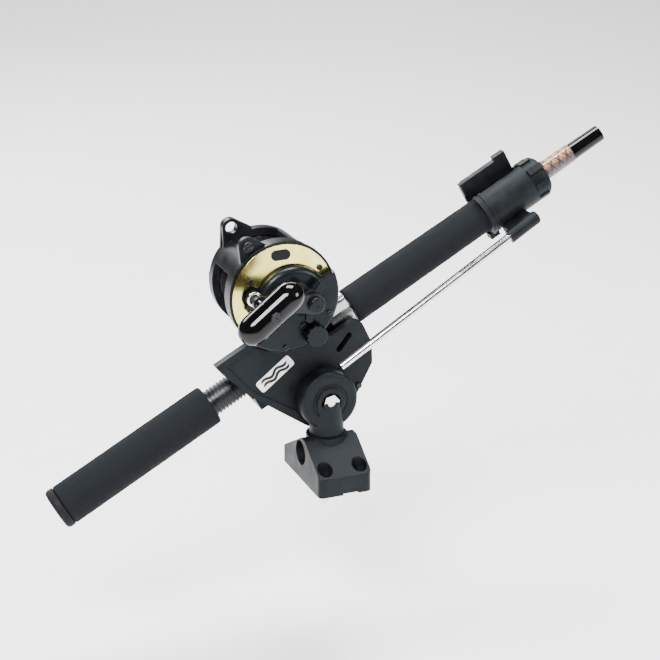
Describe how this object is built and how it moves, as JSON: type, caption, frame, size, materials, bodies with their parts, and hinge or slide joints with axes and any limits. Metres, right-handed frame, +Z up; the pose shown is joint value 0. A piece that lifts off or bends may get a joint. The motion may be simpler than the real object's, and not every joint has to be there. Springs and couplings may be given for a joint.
{
  "type": "trolling reel in a rod holder",
  "caption": "Star-drag trolling reel on a rod handle, locked in a tilting rod holder with a stay rod, front collar, swivel post and bolt-down deck mount.",
  "frame": {"origin": "centre of the deck mount's underside, at the middle of its four screws", "axes": "+Z up from the deck; +X the horizontal direction in which the rod points; +Y away from the crank handle, along the reel's spool"},
  "size_m": [0.4478, 0.1232, 0.2602],
  "materials": {
    "holder_nylon": "moulded glass-filled nylon, satin",
    "stainless": "polished stainless",
    "label_white": "blank white badge",
    "eva_foam": "closed-cell foam, matt",
    "black_rubber": "matt",
    "gloss_black": "high gloss",
    "seat_grey": "gunmetal, satin",
    "chrome": "mirror chrome",
    "thread_copper": "wound thread under varnish",
    "reel_graphite": "graphite-filled moulding, satin",
    "black_screws": "black oxide",
    "trim_gold": "pale gold, polished",
    "spool_alloy": "dark anodised",
    "fishing_line": "wound monofilament",
    "brass": "machined",
    "drag_fibre": "carbon fibre washers"
  },
  "bodies": {
    "mount": {"mount_base": "holder_nylon", "deck_screws": "stainless"},
    "post": {"swivel_post": "holder_nylon", "tilt_bolt": "stainless"},
    "tilt_lock": {"tilt_knob": "holder_nylon", "tilt_washer": "stainless"},
    "holder": {"holder_body": "holder_nylon", "holder_label": "label_white", "stop_pin": "stainless", "stay_rod": "stainless", "front_collar": "holder_nylon", "rear_grip": "eva_foam", "butt_cap": "black_rubber", "rod_blank": "gloss_black", "reel_seat": "seat_grey", "fixed_hood": "chrome", "seat_ring": "seat_grey", "foregrip": "eva_foam", "winding_check": "seat_grey", "thread_wrap": "thread_copper", "reel_foot": "reel_graphite", "reel_frame": "reel_graphite", "harness_lug": "reel_graphite", "lug_screw": "stainless", "left_side_plate": "reel_graphite", "left_plate_screws": "black_screws", "right_side_plate": "reel_graphite", "right_plate_screws": "black_screws", "bridge_plate": "brass", "trim_plate": "trim_gold", "trim_inset": "reel_graphite", "trim_screws": "black_screws", "spool_bearings": "stainless", "dog_pin": "stainless"},
    "collar_lock": {"lock_ring": "holder_nylon"},
    "seat_slider": {"sliding_hood": "chrome"},
    "seat_nut": {"hood_nut": "seat_grey"},
    "spool": {"spool": "spool_alloy", "line_pack": "fishing_line", "spool_shaft": "stainless"},
    "crank": {"main_gear": "brass", "drag_washers": "drag_fibre", "ratchet": "stainless", "drive_shaft": "stainless", "handle_arm": "reel_graphite", "handle_nut": "gloss_black", "knob_axle": "stainless"},
    "star": {"star_drag": "reel_graphite"},
    "grip": {"handle_knob": "gloss_black"},
    "yoke": {"pinion_yoke": "reel_graphite"},
    "pinion": {"pinion_gear": "brass"},
    "clutch_lever": {"free_spool_lever": "reel_graphite", "lever_ring": "chrome", "lever_screw": "stainless"},
    "dog": {"anti_reverse_dog": "stainless"},
    "takedown": {"takedown_knob": "reel_graphite"},
    "clicker": {"clicker_button": "reel_graphite"}
  },
  "joints": [
    {"name": "post_swivel", "type": "hinge", "parent": "mount", "child": "post", "pos_m": [0, 0, 0.03], "axis": [0, 0, 1], "range_deg": [-180, 180]},
    {"name": "holder_tilt", "type": "hinge", "parent": "post", "child": "holder", "pos_m": [0, 0.03, 0.062], "axis": [0, -1, 0], "range_deg": [-25, 35]},
    {"name": "tilt_knob_turn", "type": "hinge", "parent": "post", "child": "tilt_lock", "pos_m": [0, 0.055, 0.062], "axis": [0, 1, 0], "range_deg": [-180, 180]},
    {"name": "lock_ring_turn", "type": "hinge", "parent": "holder", "child": "collar_lock", "pos_m": [0.18308, 0.03, 0.20419], "axis": [0.8755, 0, 0.4833], "range_deg": [0, 180]},
    {"name": "hood_nut_turn", "type": "hinge", "parent": "seat_slider", "child": "seat_nut", "pos_m": [-0.04892, 0.03, 0.07612], "axis": [0.8755, 0, 0.4833], "range_deg": [0, 1200]},
    {"name": "hood_slide", "type": "slide", "parent": "holder", "child": "seat_slider", "axis": [0.8755, 0, 0.4833], "range_m": [-0.01, 0]},
    {"name": "crank_spin", "type": "hinge", "parent": "holder", "child": "crank", "pos_m": [-0.01742, -0.01, 0.14497], "axis": [0, -1, 0], "continuous": true},
    {"name": "spool_spin", "type": "hinge", "parent": "holder", "child": "spool", "pos_m": [-0.03227, 0.025, 0.14528], "axis": [0, -1, 0], "continuous": true},
    {"name": "pinion_spin", "type": "hinge", "parent": "yoke", "child": "pinion", "pos_m": [-0.03227, 0.001, 0.14528], "axis": [0, -1, 0], "continuous": true},
    {"name": "grip_spin", "type": "hinge", "parent": "crank", "child": "grip", "pos_m": [-0.05844, -0.044, 0.15048], "axis": [0, -1, 0], "continuous": true},
    {"name": "star_drag_turn", "type": "hinge", "parent": "crank", "child": "star", "pos_m": [-0.01742, -0.013, 0.14497], "axis": [0, -1, 0], "range_deg": [-180, 180]},
    {"name": "free_spool_lever_turn", "type": "hinge", "parent": "holder", "child": "clutch_lever", "pos_m": [-0.05635, -0.001, 0.14752], "axis": [0, 1, 0], "range_deg": [0, 35]},
    {"name": "yoke_slide", "type": "slide", "parent": "holder", "child": "yoke", "axis": [0, -1, 0], "range_m": [0, 0.0012]},
    {"name": "dog_pivot", "type": "hinge", "parent": "holder", "child": "dog", "pos_m": [-0.00825, 0.003, 0.15174], "axis": [0, -1, 0], "range_deg": [-8, 8]},
    {"name": "takedown_turn", "type": "hinge", "parent": "holder", "child": "takedown", "pos_m": [-0.01223, -0.01, 0.11705], "axis": [0, -1, 0], "range_deg": [-180, 180]},
    {"name": "clicker_slide", "type": "slide", "parent": "holder", "child": "clicker", "axis": [-0.4833, 0, 0.8755], "range_m": [-0.0015, 0.0015]}
  ],
  "couplings": [
    {"joint": "spool_spin", "follows": "crank_spin", "ratio": -3.5},
    {"joint": "pinion_spin", "follows": "crank_spin", "ratio": -3.5},
    {"joint": "free_spool_lever_turn", "follows": "yoke_slide", "rad_per_m": 509.05},
    {"joint": "hood_nut_turn", "follows": "hood_slide", "rad_per_m": -2094.4}
  ]
}
